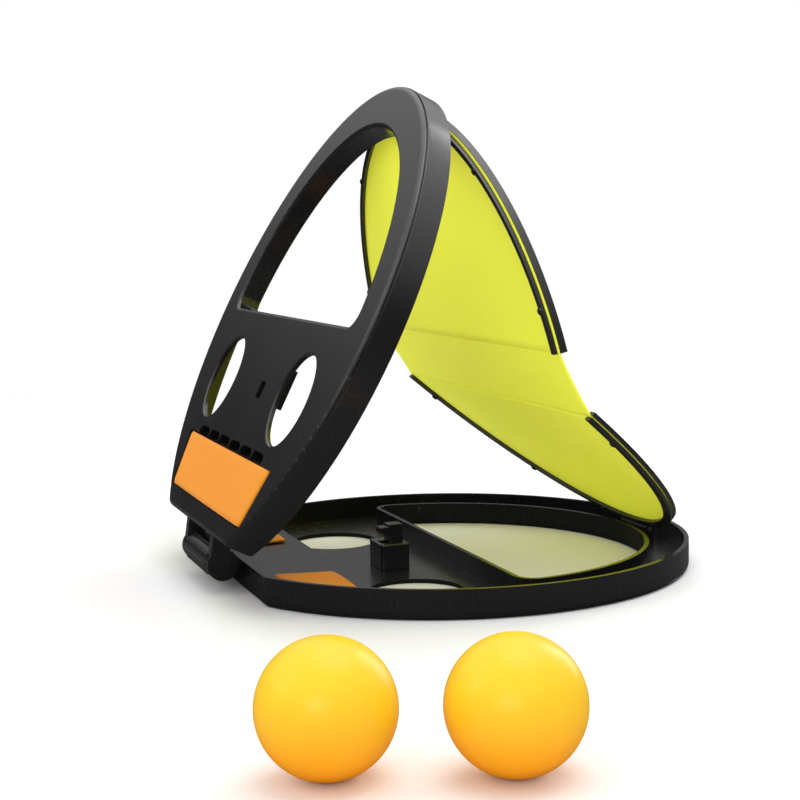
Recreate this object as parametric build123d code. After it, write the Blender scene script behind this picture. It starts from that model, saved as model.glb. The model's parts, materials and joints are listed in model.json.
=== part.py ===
from build123d import *
import math
import os

# Hand-held catcher: two round shells hinged at the grip end, spread by a torsion
# spring. Each shell carries a half-ring net frame hinged at its tip, and one elastic
# membrane joins the two frames. Millimetres. +X runs from the hinge to the tip of the
# lower shell, +Y across it, +Z up. The origin is the centre of the lower shell's round
# outline, on the face that it rests on. It is modelled at rest, with the jaws open.

# ---- driving dimensions -------------------------------------------------------------
SHELL_R = 110.0            # outer radius of a shell's outline
HINGE_INSET = 4.4          # from the round outline back in to the hinge axis
HINGE_REACH = SHELL_R - HINGE_INSET
CHORD_GAP = 9.6            # from the hinge axis to the flat edge at the hinge end
CHORD_X = CHORD_GAP - HINGE_REACH
CHORD_CORNER_R = 9.0       # its rounded corners
DEPTH = 12.4               # outer face to parting plane
WALL = 2.0                 # rim and window walls
PLATE = 2.0                # thickness of the outer face
FACE_EDGE_R = 2.6          # rounding where the face meets the rim
WINDOW_EDGE_R = 1.6        # rounding round the window, on the face
HOLE_EDGE_R = 0.6
GROOVE_Z = 1.2             # shadow groove round the edge of the face, in the rounding
GROOVE_W = 0.7
GROOVE_DEPTH = 0.9         # in from the outline
GROOVE_END = 18.0          # it stops this far short of the middle, on the hinge side
OPEN_DEG = 63.3            # angle between the two parting planes at rest

STRAP_REACH = 31.6         # from the hinge axis to the middle of the hand strap
STRAP_X = STRAP_REACH - HINGE_REACH
STRAP_W = 25.0
STRAP_T = 1.2
STRAP_RIM = 13.14          # where it turns in through the face, in from the outline
STRAP_TURN_Y = math.sqrt((SHELL_R - STRAP_RIM) ** 2 - STRAP_X ** 2)
STRAP_SLANT = 0.3          # the turn follows the rim
UPPER_STRAP_Z = -0.4       # its outer side stands proud of the upper shell's face
LOWER_STRAP_Z = 0.05       # on the lower shell it is just inside the face
STRAP_SLOT = 4.0           # width of the slots that it passes through
STRAP_ROOM = 0.5           # gap to the slot on each side
STRAP_TAIL = 28.0          # the end that is folded back inside
STRAP_TAIL_RISE = 0.3

POCKET_DEPTH = 5.0         # hollow in the face, for the fingers under the strap
POCKET_END = 4.6           # it runs past the strap's turn by this much
POCKET_ROOM = 0.6          # beside the strap, at both edges

GRILLE_X0 = STRAP_X + 8.0  # scalloped cells along the pocket's edge
GRILLE_X1 = STRAP_X + 17.3
GRILLE_PITCH = 18.6
GRILLE_CELLS = 6
GRILLE_RIB = 1.2
GRILLE_CORNER_R = 3.6

BALL_D = 40.0
BALL_WALL = 0.5
HOLE_R = BALL_D / 2 - 0.2  # two round holes, a little smaller than the ball
HOLE_X = GRILLE_X1 + HOLE_R + 4.3
HOLE_Y = HOLE_R + 36.2

RIM_W = 19.2               # from the outline in to the D-shaped window
WINDOW_R = SHELL_R - RIM_W
WINDOW_X = HOLE_X + HOLE_R + 13.7
WINDOW_CORNER_R = 7.0

HINGE_R = 6.6
CHEEK_Y0 = 20.0            # upper shell's cheeks
CHEEK_Y1 = 25.0
BARREL_ROOM = 0.35         # end play between cheek and barrel
PIN_R = 2.0
PIN_FIT = 0.05             # running clearance on the radius
PIN_COVER = 1.5            # the cheeks are closed over its ends
SPRING_COIL_R = 3.5        # mean radius of the torsion spring
SPRING_WIRE_R = 0.55
SPRING_TURNS = 7
SPRING_LENGTH = 16.0
SPRING_ROOM = 0.4
ARM_Y = 14.0               # lower shell's arms
ARM_W = 6.0
BARREL_RIBS = 10
BARREL_RIB_R = 0.5

TIP_INSET = 10.9           # from the outline in to the pivot of each net frame
NET_HINGE_X = SHELL_R - TIP_INSET
NET_HINGE_DEPTH = 3.5      # below the parting plane
NET_OPEN_DEG = 40.5        # angle of a net frame to its shell at rest
NET_CENTRE = NET_HINGE_X + 4.9  # from the pivot to the centre of the half ring
NET_END = NET_HINGE_X + 0.4     # from the pivot to the ends of the legs
NET_RISE = 2.2             # membrane plane above the pivot, on the ball side
NET_BAND_W = 4.0
NET_ROOM = 0.7             # between a net frame and the rim or frame round it
UPPER_NET_R = SHELL_R - WALL - NET_ROOM
LOWER_NET_R = UPPER_NET_R - NET_BAND_W - NET_ROOM
LOWER_BAND_T = 1.7         # thickness on the ball side
UPPER_BAND_T = 2.9
CLAMP_T = 1.6
LOWER_CLAMP_INSET = 0.0    # how much narrower a clamp is than its band
UPPER_CLAMP_INSET = 1.4
MEMBRANE_T = 0.6
NET_FIT = 0.05             # gap between the membrane and its band or clamp
WINDOW_WALL_ROOM = 0.4     # the window's wall stops this far below the closed membrane
WINDOW_WALL_DROP = NET_HINGE_DEPTH - NET_RISE + MEMBRANE_T / 2 + WINDOW_WALL_ROOM
PEG_R = 0.8
PEG_HEAD_R = 1.6
PEG_HEAD_T = 0.9
PEG_BITE = 1.0             # how far a peg goes into its band
LOWER_HEM = 1.0            # the membrane stops short of the band's outer edge
UPPER_HEM = 0.2
STRIP_INSET = 0.6
PEG_ANGLES = (-78, -42, -14, 14, 42, 78)

KNUCKLE_R = 2.0            # net frame's own hinge tube
KNUCKLE_HALF = 9.0
LUG_T = 3.0
TIP_PIN_R = 1.0
LUG_ROOM = 0.3
LUG_SWEEP = KNUCKLE_R * 1.5     # nothing on the frame comes nearer to the ears
NECK_HALF = 1.0            # joins a band to its hinge tube
NECK_REACH = 4.0
TIP_RELIEF = 0.3           # the bands stay this far inside their own shell at the tip
TIP_RELIEF_Y = 14.0

LATCH_Y = -10.5            # middle of the sliding hook
LATCH_BASE_Y = -9.0
LATCH_BASE_W = 17.0
LATCH_BASE_WALL = 1.0
LATCH_BASE_RISE = 1.0      # its top above the parting plane
HOOK_W = 6.4
HOOK_X0 = HOLE_X + 3.3     # the stem, drawn in the released position
HOOK_LENGTH = 6.6
HOOK_RISE = 9.0
HOOK_LIP = 3.6
HOOK_LIP_Z0 = 5.2
HOOK_LIP_Z1 = 7.8
HOOK_TRAVEL = 2.8          # towards the hinge, to lock
HOOK_ROOM = 0.25
FOOT_OVER = 0.5            # the foot is longer than the stem at each end
FOOT_W = 8.8
FOOT_T = 7.0
FOOT_GAP = 0.3             # above the plate
CATCH_LOW = 2.6            # the catch stops this far from the parting plane
CATCH_FLOOR_T = 1.8
CATCH_LIP_GAP = 0.3        # between the released lip and the edge that it grips
CATCH_SWING_ROOM = 1.2     # behind the stem, for the arc of the closing shell
CATCH_WALL = 1.6
SLOT_X0 = HOOK_X0 - 7.3    # window in the upper face, above the hook
SLOT_LENGTH = 7.4
SLOT_W = 7.2
LATCH_SCREW_R = 1.4
LATCH_SCREW_HEAD_R = 2.6
LATCH_SCREW_HEAD_T = 1.2
SCREW_SINK = 1.3
SCREW_TOP = 8.0
SCREW_Y = -3.2
SCREW_HALF_SPAN = 3.6

BALL_PLACES = ((-131.5, -253.3), (-82.5, -270.7))   # the balls lie in front of the set

SEAT = 0.02                # gap between pieces that sit on each other
TINY = 0.01

# ---- places that follow from them ---------------------------------------------------
HX = -HINGE_REACH
HZ = DEPTH
BARREL_HALF = CHEEK_Y0 - BARREL_ROOM
SPRING_BAY = SPRING_LENGTH + 2.0
LUG_Y0 = KNUCKLE_HALF + LUG_ROOM
LUG_Y1 = LUG_Y0 + LUG_T
HOOK_X1 = HOOK_X0 + HOOK_LENGTH
FOOT_X0 = HOOK_X0 - FOOT_OVER
FOOT_X1 = HOOK_X1 + FOOT_OVER
FOOT_Z0 = PLATE + FOOT_GAP
FOOT_Z1 = FOOT_Z0 + FOOT_T
LATCH_BASE_X0 = FOOT_X0 - HOOK_TRAVEL - HOOK_ROOM - LATCH_BASE_WALL
LATCH_BASE_X1 = FOOT_X1 + HOOK_ROOM + LATCH_BASE_WALL
SCREW_MIDDLE = (LATCH_BASE_X0 + LATCH_BASE_X1) / 2
SCREW_X = (SCREW_MIDDLE - SCREW_HALF_SPAN, SCREW_MIDDLE + SCREW_HALF_SPAN)
MOUTH_X0 = HOOK_X0 - HOOK_LIP - CATCH_LIP_GAP
MOUTH_X1 = HOOK_X1 + CATCH_SWING_ROOM
CATCH_X0 = MOUTH_X0 - HOOK_TRAVEL - CATCH_WALL
CATCH_X1 = MOUTH_X1 + CATCH_WALL
SLOT_X1 = SLOT_X0 + SLOT_LENGTH


def inset_outline(inset):
    """The shell's outline: a circle cut off by the chord, with rounded corners."""
    reach = SHELL_R * 3
    with BuildSketch() as sk:
        Circle(SHELL_R - inset)
        with Locations((CHORD_X + inset + reach / 2, 0)):
            Rectangle(reach, reach, mode=Mode.INTERSECT)
        corners = [v for v in sk.vertices() if abs(v.Y) > SHELL_R / 3]
        fillet(corners, max(CHORD_CORNER_R - inset, 1.0))
    return sk.sketch


def window_outline(grow):
    """The D-shaped window, grown outwards for the wall round it."""
    reach = SHELL_R * 3
    with BuildSketch() as sk:
        Circle(WINDOW_R + grow)
        with Locations((WINDOW_X - grow + reach / 2, 0)):
            Rectangle(reach, reach, mode=Mode.INTERSECT)
        corners = [v for v in sk.vertices() if abs(v.Y) > SHELL_R / 3]
        fillet(corners, WINDOW_CORNER_R + grow)
    return sk.sketch


def box(x0, x1, y0, y1, z0, z1):
    """A box given by its limits."""
    size = (x1 - x0, y1 - y0, z1 - z0)
    centre = ((x0 + x1) / 2, (y0 + y1) / 2, (z0 + z1) / 2)
    return Pos(*centre) * Box(*size)


def rod(x, z, radius, y0, y1):
    """A round bar along Y."""
    return Pos(x, (y0 + y1) / 2, z) * Rot(90, 0, 0) * Cylinder(radius, y1 - y0)


def prism(points, y0, y1):
    """A polygon in the XZ plane, pulled along Y."""
    with BuildSketch(Plane.XZ.offset(-y0)) as sk:
        with BuildLine():
            Polyline(*points, close=True)
        make_face()
    return extrude(sk.sketch, -(y1 - y0))


def grille_span():
    return GRILLE_CELLS * GRILLE_PITCH / 2


def grille_cells():
    """Blind cells, each with rounded corners, that open into the pocket."""
    with BuildSketch() as sk:
        for i in range(GRILLE_CELLS):
            y = -grille_span() + (i + 0.5) * GRILLE_PITCH
            with Locations(((GRILLE_X0 + GRILLE_X1) / 2, y)):
                RectangleRounded(GRILLE_X1 - GRILLE_X0, GRILLE_PITCH - GRILLE_RIB, GRILLE_CORNER_R)
    return Pos(0, 0, -1) * extrude(sk.sketch, POCKET_DEPTH + 1)


def strap_edge(x, offset):
    """Where the strap turns in, parallel to the shell's rim: narrower towards the hinge."""
    return STRAP_TURN_Y + offset + STRAP_SLANT * (x - STRAP_X)


def strap_plan(y0, y1, z0, z1, side):
    """A piece of the strap between two slanted lines, given by their offsets."""
    x0 = STRAP_X - STRAP_W / 2
    x1 = STRAP_X + STRAP_W / 2
    points = [
        (x0, side * strap_edge(x0, y0)),
        (x1, side * strap_edge(x1, y0)),
        (x1, side * strap_edge(x1, y1)),
        (x0, side * strap_edge(x0, y1)),
    ]
    with BuildSketch(Plane.XY.offset(z0)) as sk:
        with BuildLine():
            Polyline(*points, close=True)
        make_face()
    return extrude(sk.sketch, z1 - z0)


def strap_field(x0, x1, offset, z0, z1):
    """A slab as wide as the strap's turns plus an offset, between two places along X."""
    points = [
        (x0, -strap_edge(x0, offset)),
        (x1, -strap_edge(x1, offset)),
        (x1, strap_edge(x1, offset)),
        (x0, strap_edge(x0, offset)),
    ]
    with BuildSketch(Plane.XY.offset(z0)) as sk:
        with BuildLine():
            Polyline(*points, close=True)
        make_face()
    return extrude(sk.sketch, z1 - z0)


def pocket_limits():
    return STRAP_X - STRAP_W / 2 - POCKET_ROOM, STRAP_X + STRAP_W / 2 + POCKET_ROOM


def pocket_block():
    """The raised floor and walls that close the pocket and its cells on the inside."""
    x0 = pocket_limits()[0]
    block = strap_field(x0 - WALL, GRILLE_X1 + WALL, POCKET_END + WALL, PLATE / 2, POCKET_DEPTH + PLATE)
    return block & extrude(inset_outline(WALL / 2), DEPTH)


def pocket_hollow():
    x0, x1 = pocket_limits()
    return strap_field(x0, x1, POCKET_END, -1, POCKET_DEPTH) + grille_cells()


def face_edges(body):
    """Edges of the window where it opens in the outer face."""
    edges = body.edges().group_by(Axis.Z)[0]
    return [e for e in edges if e.center().X > WINDOW_X - 1 and farthest(e) < WINDOW_R + 1]


def farthest(edge):
    return max(math.hypot(v.X, v.Y) for v in edge.vertices())


def hole_edges(body):
    """Edges of the two round holes in the outer face."""
    edges = body.edges().group_by(Axis.Z)[0].filter_by(GeomType.CIRCLE)
    return [e for e in edges if abs(e.radius - HOLE_R) < TINY]


def shell_blank():
    """One shell, lying on its outer face, with everything both halves share."""
    body = extrude(inset_outline(0), DEPTH)
    rim = body.edges().group_by(Axis.Z)[0]
    body = fillet(rim, FACE_EDGE_R)
    body -= Pos(0, 0, PLATE) * extrude(inset_outline(WALL), DEPTH)
    body += extrude(window_outline(WALL), DEPTH - WINDOW_WALL_DROP)
    outside = inset_outline(-WALL) - inset_outline(GROOVE_DEPTH)
    groove = Pos(0, 0, GROOVE_Z) * extrude(outside, GROOVE_W)
    body -= groove & box(-GROOVE_END, 2 * SHELL_R, -2 * SHELL_R, 2 * SHELL_R, 0, DEPTH)
    body -= Pos(0, 0, -1) * extrude(window_outline(0), DEPTH + 2)
    body = fillet(face_edges(body), WINDOW_EDGE_R)
    for side in (-1, 1):
        body -= Pos(HOLE_X, side * HOLE_Y, 0) * Cylinder(HOLE_R, 3 * DEPTH)
    body = chamfer(hole_edges(body), HOLE_EDGE_R)
    return body + pocket_block() - pocket_hollow()


def strap_room(body):
    """Cut the two slots for the strap through the pocket's floor."""
    room_x0 = STRAP_X - STRAP_W / 2 - STRAP_ROOM
    room_x1 = STRAP_X + STRAP_W / 2 + STRAP_ROOM
    for side in (-1, 1):
        points = [
            (room_x0, side * strap_edge(room_x0, -STRAP_ROOM)),
            (room_x1, side * strap_edge(room_x1, -STRAP_ROOM)),
            (room_x1, side * strap_edge(room_x1, STRAP_SLOT - STRAP_ROOM)),
            (room_x0, side * strap_edge(room_x0, STRAP_SLOT - STRAP_ROOM)),
        ]
        with BuildSketch() as sk:
            with BuildLine():
                Polyline(*points, close=True)
            make_face()
        body -= Pos(0, 0, -1) * extrude(sk.sketch, DEPTH)
    return body


def strap(outer_z):
    """Webbing across the pocket, in through both slots, its ends folded back inside."""
    floor = POCKET_DEPTH + PLATE + 0.05
    lift = floor + STRAP_TAIL_RISE
    x0 = STRAP_X - STRAP_W / 2
    x1 = STRAP_X + STRAP_W / 2
    band = strap_field(x0, x1, STRAP_T, outer_z, outer_z + STRAP_T)
    for side in (-1, 1):
        band += strap_plan(0, STRAP_T, outer_z, lift + STRAP_T, side)
        band += strap_plan(-STRAP_TAIL, STRAP_T, lift, lift + STRAP_T, side)
    return band


def lugs():
    """Two ears inside the tip, which hold the pin of the net frame."""
    z = DEPTH - NET_HINGE_DEPTH
    ears = None
    for side in (-1, 1):
        y0, y1 = sorted((side * LUG_Y0, side * LUG_Y1))
        x0 = NET_HINGE_X - KNUCKLE_R
        ear = box(x0, x0 + 2 * KNUCKLE_R, y0, y1, PLATE / 2, z) + rod(NET_HINGE_X, z, KNUCKLE_R, y0, y1)
        ears = ear if ears is None else ears + ear
    return ears - rod(NET_HINGE_X, z, TIP_PIN_R, -LUG_Y1 - 1, LUG_Y1 + 1)


def chord_web(y0, y1, low, high, reach):
    """An arm from the flat hinge end of a shell to the hinge axis."""
    root = CHORD_X + WALL / 2
    points = [(HX, HZ - reach), (root, low), (root, high), (HX, HZ + reach / 3)]
    return prism(points, y0, y1)


def lower_shell_part():
    body = strap_room(shell_blank()) + lugs()
    barrel = rod(HX, HZ, HINGE_R, -BARREL_HALF, BARREL_HALF)
    for i in range(BARREL_RIBS):
        a = 2 * math.pi * i / BARREL_RIBS
        x = HX + HINGE_R * math.cos(a)
        z = HZ + HINGE_R * math.sin(a)
        barrel += rod(x, z, BARREL_RIB_R, -BARREL_HALF, BARREL_HALF)
    for side in (-1, 1):
        y0 = side * ARM_Y - ARM_W / 2
        barrel += chord_web(y0, y0 + ARM_W, HZ - 8.5, HZ - 2.5, HINGE_R * 0.8)
    body += barrel
    body -= rod(HX, HZ, PIN_R + PIN_FIT, -BARREL_HALF - 1, BARREL_HALF + 1)
    body -= rod(HX, HZ, SPRING_COIL_R + SPRING_WIRE_R + SPRING_ROOM, -SPRING_BAY / 2, SPRING_BAY / 2)
    for x in SCREW_X:
        body -= Pos(x, SCREW_Y, 0) * Cylinder(LATCH_SCREW_R, 3 * PLATE)
        body -= Pos(x, SCREW_Y, 0) * Cylinder(LATCH_SCREW_HEAD_R, 2 * SCREW_SINK)
    return body


def upper_shell_blank():
    """The upper shell as it would lie on its outer face."""
    body = strap_room(shell_blank()) + lugs()
    for side in (-1, 1):
        y0, y1 = sorted((side * CHEEK_Y0, side * CHEEK_Y1))
        cheek = rod(HX, HZ, HINGE_R, y0, y1) + chord_web(y0, y1, HZ - 9.5, HZ - 1.2, HINGE_R * 0.9)
        body += cheek
    body -= rod(HX, HZ, PIN_R, PIN_COVER - CHEEK_Y1, CHEEK_Y1 - PIN_COVER)
    y0 = LATCH_Y - SLOT_W / 2
    return body - box(SLOT_X0, SLOT_X1, y0, y0 + SLOT_W, -1, PLATE + 1)


def catch_blank():
    """Box behind the slot of the upper shell. The hook grips the edge of its floor."""
    y0 = LATCH_BASE_Y - LATCH_BASE_W / 2
    y1 = y0 + LATCH_BASE_W
    top = DEPTH - CATCH_LOW
    solid = box(CATCH_X0, CATCH_X1, y0, y1, PLATE + SEAT, top)
    hollow_x0 = CATCH_X0 + CATCH_WALL
    hollow_x1 = CATCH_X1 - CATCH_WALL
    hollow = box(hollow_x0, hollow_x1, y0 + CATCH_WALL, y1 - CATCH_WALL, 0, top - CATCH_FLOOR_T)
    mouth_y = HOOK_W / 2 + 2 * HOOK_ROOM
    mouth = box(MOUTH_X0, MOUTH_X1, LATCH_Y - mouth_y, LATCH_Y + mouth_y, 0, top + 1)
    return solid - hollow - mouth


def to_upper(shape):
    """Mirror a piece of the lower half into the upper one, at its rest angle."""
    mirrored = mirror(shape, about=Plane.XY.offset(DEPTH))
    return Pos(HX, 0, HZ) * Rot(0, -OPEN_DEG, 0) * Pos(-HX, 0, -HZ) * mirrored


def net_pose(shape):
    """Place a piece of a net frame, drawn flat about its pivot, at its rest angle."""
    return Pos(NET_HINGE_X, 0, DEPTH - NET_HINGE_DEPTH) * Rot(0, NET_OPEN_DEG, 0) * shape


def upper_net_pose(shape):
    return to_upper(net_pose(shape))


def half_ring(outer, inner, z0, z1):
    ring = Pos(-NET_CENTRE, 0, (z0 + z1) / 2) * Cylinder(outer, z1 - z0)
    if inner > 0:
        ring -= Pos(-NET_CENTRE, 0, (z0 + z1) / 2) * Cylinder(inner, z1 - z0 + 1)
    reach = 3 * SHELL_R
    return ring & box(-NET_END, reach, -reach, reach, z0 - 1, z1 + 1)


def peg_places(radius):
    spots = []
    for angle in PEG_ANGLES:
        a = math.radians(angle)
        spots.append((-NET_CENTRE + radius * math.cos(a), radius * math.sin(a)))
    return spots


def net_pieces(outer, band_t, clamp_inset, hem):
    """Band, clamp, pegs and membrane of one net frame, flat about its pivot."""
    inner = outer - NET_BAND_W
    band_z = NET_RISE + MEMBRANE_T / 2 + NET_FIT
    clamp_z = NET_RISE - MEMBRANE_T / 2 - NET_FIT
    relief_z = NET_HINGE_DEPTH - TIP_RELIEF
    neck_x0 = min(-NET_CENTRE + inner, -NECK_HALF)
    neck_x0 = max(neck_x0, -NECK_REACH)
    neck = box(neck_x0, NECK_HALF, -KNUCKLE_HALF, KNUCKLE_HALF, 0, band_z + TINY)
    tube = rod(0, 0, KNUCKLE_R, -KNUCKLE_HALF, KNUCKLE_HALF)
    sweep_y = LUG_Y1 + LUG_ROOM
    sweep = rod(0, 0, LUG_SWEEP + LUG_ROOM, -sweep_y, sweep_y)
    neck_y = KNUCKLE_HALF + LUG_ROOM
    keep_out = sweep + box(neck_x0 - LUG_ROOM, NECK_HALF + LUG_ROOM, -neck_y, neck_y, -KNUCKLE_R, band_z)
    ring = half_ring(outer, inner, band_z, band_z + band_t)
    tip = box(-SHELL_R / 2, SHELL_R / 2, -TIP_RELIEF_Y, TIP_RELIEF_Y, relief_z, SHELL_R)
    band = ring - tip + neck + tube
    band -= rod(0, 0, TIP_PIN_R + PIN_FIT, -sweep_y, sweep_y)
    clamp = half_ring(outer - clamp_inset, inner, clamp_z - CLAMP_T, clamp_z) - keep_out
    sheet_z = NET_RISE - MEMBRANE_T / 2
    sheet = half_ring(outer - hem, 0, sheet_z, sheet_z + MEMBRANE_T) - keep_out
    sheet -= box(0, SHELL_R, -sweep_y, sweep_y, -KNUCKLE_R, band_z)
    pegs = []
    head_z = clamp_z - CLAMP_T
    peg_top = band_z + PEG_BITE
    for x, y in peg_places((outer - clamp_inset + inner) / 2):
        shank = Pos(x, y, (head_z + peg_top) / 2) * Cylinder(PEG_R, peg_top - head_z)
        head = Pos(x, y, head_z - PEG_HEAD_T / 2) * Cylinder(PEG_HEAD_R, PEG_HEAD_T)
        band -= shank
        clamp -= shank
        sheet -= shank
        pegs.append(shank + head)
    return band, clamp, pegs, sheet


def leg_end(z):
    """World position of a leg's end, at a height above the lower pivot's plane."""
    a = math.radians(NET_OPEN_DEG)
    x = NET_HINGE_X - NET_END * math.cos(a) + z * math.sin(a)
    return x, DEPTH - NET_HINGE_DEPTH + NET_END * math.sin(a) + z * math.cos(a)


def mirror_in_jaw(point):
    """The matching point of the upper half: its reflection in the middle of the jaw."""
    a = math.radians(OPEN_DEG)
    x = point[0] - HX
    z = point[1] - HZ
    return HX + x * math.cos(a) + z * math.sin(a), HZ + x * math.sin(a) - z * math.cos(a)


def membrane_strip():
    """The free middle of the membrane, between the ends of the two half rings."""
    low = NET_RISE - MEMBRANE_T / 2
    high = NET_RISE + MEMBRANE_T / 2
    a, b = leg_end(low), leg_end(high)
    c, d = mirror_in_jaw(b), mirror_in_jaw(a)
    half = LOWER_NET_R - LOWER_HEM - STRIP_INSET
    return prism([a, b, c, d], -half, half)


def torsion_spring():
    """Coil round the hinge pin."""
    pitch = SPRING_LENGTH / SPRING_TURNS
    path = Helix(pitch, SPRING_LENGTH, SPRING_COIL_R)
    profile = Plane(origin=path @ 0, z_dir=path % 0) * Circle(SPRING_WIRE_R)
    coil = sweep(profile, path=path, is_frenet=True)
    return Pos(HX, SPRING_LENGTH / 2, HZ) * Rot(90, 0, 0) * coil


def latch_base():
    """Block on the lower plate that guides the sliding hook."""
    y0 = LATCH_BASE_Y - LATCH_BASE_W / 2
    y1 = y0 + LATCH_BASE_W
    top = DEPTH + LATCH_BASE_RISE
    block = box(LATCH_BASE_X0, LATCH_BASE_X1, y0, y1, PLATE + SEAT, top)
    block = fillet(block.edges().filter_by(Axis.Z), 1.2)
    block = chamfer(block.edges().group_by(Axis.Z)[-1], 0.5)
    half = FOOT_W / 2 + HOOK_ROOM
    room_x1 = LATCH_BASE_X1 - LATCH_BASE_WALL
    room_x0 = LATCH_BASE_X0 + LATCH_BASE_WALL
    bay = box(room_x0, room_x1, LATCH_Y - half, LATCH_Y + half, PLATE - 1, FOOT_Z1 + HOOK_ROOM)
    throat_y = HOOK_W / 2 + HOOK_ROOM
    throat_x0 = HOOK_X0 - HOOK_TRAVEL - HOOK_ROOM
    throat_x1 = HOOK_X1 + HOOK_ROOM
    throat = box(throat_x0, throat_x1, LATCH_Y - throat_y, LATCH_Y + throat_y, PLATE, top + 1)
    block = block - bay - throat
    for x in SCREW_X:
        block -= Pos(x, SCREW_Y, 0) * Cylinder(LATCH_SCREW_R, 2 * SCREW_TOP)
    return block


def latch_hook():
    """Stem, lip and foot of the sliding hook."""
    y0 = LATCH_Y - HOOK_W / 2
    y1 = LATCH_Y + HOOK_W / 2
    stem = box(HOOK_X0, HOOK_X1, y0, y1, FOOT_Z0, DEPTH + HOOK_RISE)
    lip = box(HOOK_X0 - HOOK_LIP, HOOK_X0 + 1, y0, y1, DEPTH + HOOK_LIP_Z0, DEPTH + HOOK_LIP_Z1)
    foot = box(FOOT_X0, FOOT_X1, LATCH_Y - FOOT_W / 2, LATCH_Y + FOOT_W / 2, FOOT_Z0, FOOT_Z1)
    return stem + lip + foot


def latch_screws():
    """Two screws from below, sunk in the lower plate."""
    screws = []
    for x in SCREW_X:
        head = Pos(x, SCREW_Y, SCREW_SINK - LATCH_SCREW_HEAD_T / 2)
        head = head * Cylinder(LATCH_SCREW_HEAD_R - 0.1, LATCH_SCREW_HEAD_T)
        shank_z0 = SCREW_SINK - TINY
        shank = Pos(x, SCREW_Y, (shank_z0 + SCREW_TOP) / 2) * Cylinder(LATCH_SCREW_R, SCREW_TOP - shank_z0)
        screws.append(head + shank)
    return Compound(screws)


def tip_pin():
    z = DEPTH - NET_HINGE_DEPTH
    return rod(NET_HINGE_X, z, TIP_PIN_R, -LUG_Y1, LUG_Y1)


def ball(x, y):
    skin = Sphere(BALL_D / 2) - Sphere(BALL_D / 2 - BALL_WALL)
    return Pos(x, y, BALL_D / 2) * skin


def main():
    parts = {
        "lower_shell": lower_shell_part(),
        "upper_shell": to_upper(upper_shell_blank()),
        "hinge_pin": rod(HX, HZ, PIN_R, PIN_COVER - CHEEK_Y1, CHEEK_Y1 - PIN_COVER),
        "hinge_spring": torsion_spring(),
        "lower_strap": strap(LOWER_STRAP_Z),
        "upper_strap": to_upper(strap(UPPER_STRAP_Z)),
        "latch_base": latch_base(),
        "latch_hook": latch_hook(),
        "latch_screws": latch_screws(),
        "latch_catch": to_upper(catch_blank()),
        "membrane_middle": membrane_strip(),
    }
    nets = (
        ("lower", net_pose, LOWER_NET_R, LOWER_BAND_T, LOWER_CLAMP_INSET, LOWER_HEM),
        ("upper", upper_net_pose, UPPER_NET_R, UPPER_BAND_T, UPPER_CLAMP_INSET, UPPER_HEM),
    )
    for name, place, outer, band_t, clamp_inset, hem in nets:
        band, clamp, pegs, sheet = net_pieces(outer, band_t, clamp_inset, hem)
        parts[f"{name}_net_band"] = place(band)
        parts[f"{name}_net_clamp"] = place(clamp)
        parts[f"{name}_net_pegs"] = Compound([place(peg) for peg in pegs])
        parts[f"membrane_{name}"] = place(sheet)
    parts["lower_tip_pin"] = tip_pin()
    parts["upper_tip_pin"] = to_upper(tip_pin())
    for i, (x, y) in enumerate(BALL_PLACES):
        parts[f"ball_{i + 1}"] = ball(x, y)
    os.makedirs("parts", exist_ok=True)
    for name, shape in parts.items():
        export_step(shape, f"parts/{name}.step")
        print(name, round(shape.volume), [round(v, 1) for v in shape.bounding_box().size])


main()
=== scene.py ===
# %% The fixed frame
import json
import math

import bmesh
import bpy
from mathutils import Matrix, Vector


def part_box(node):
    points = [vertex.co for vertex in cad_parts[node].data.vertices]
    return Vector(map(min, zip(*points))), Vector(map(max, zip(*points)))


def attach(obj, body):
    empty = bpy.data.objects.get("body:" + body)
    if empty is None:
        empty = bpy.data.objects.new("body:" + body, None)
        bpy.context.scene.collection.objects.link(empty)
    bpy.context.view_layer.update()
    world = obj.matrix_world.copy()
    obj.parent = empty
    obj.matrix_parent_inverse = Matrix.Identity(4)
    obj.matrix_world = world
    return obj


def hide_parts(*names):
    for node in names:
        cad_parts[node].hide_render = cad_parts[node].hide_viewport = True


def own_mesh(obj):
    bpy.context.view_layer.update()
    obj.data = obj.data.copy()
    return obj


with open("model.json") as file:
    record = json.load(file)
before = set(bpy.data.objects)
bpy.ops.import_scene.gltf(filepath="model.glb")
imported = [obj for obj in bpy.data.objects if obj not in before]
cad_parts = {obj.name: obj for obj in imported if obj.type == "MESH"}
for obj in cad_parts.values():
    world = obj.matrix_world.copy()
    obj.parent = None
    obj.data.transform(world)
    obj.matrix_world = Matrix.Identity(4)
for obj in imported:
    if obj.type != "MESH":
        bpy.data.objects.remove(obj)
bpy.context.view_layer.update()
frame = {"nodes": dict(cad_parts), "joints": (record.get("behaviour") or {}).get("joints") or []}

# %% [markdown]
# # A hinged ball catcher
# A hand slips under each orange strap. A torsion spring opens the two black shells, an elastic
# membrane stretches between two half-ring frames at their tips, and a ball is caught in it or
# thrown from it. The rigid parts arrive from the design at their real size, in metres. This
# script never moves them: it gives them finishes, and makes the soft parts properly.
#
# Joints give the hinge lines, and the boxes of the parts give most other places. A few sizes that
# neither can give, such as the hems, the pegs and the cloth's height over its pivot, are repeated
# here as named values. They have to be changed by hand when the design changes.

MM = 0.001
nodes = frame["nodes"]
joints = {joint["name"]: joint for joint in frame["joints"]}

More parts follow.
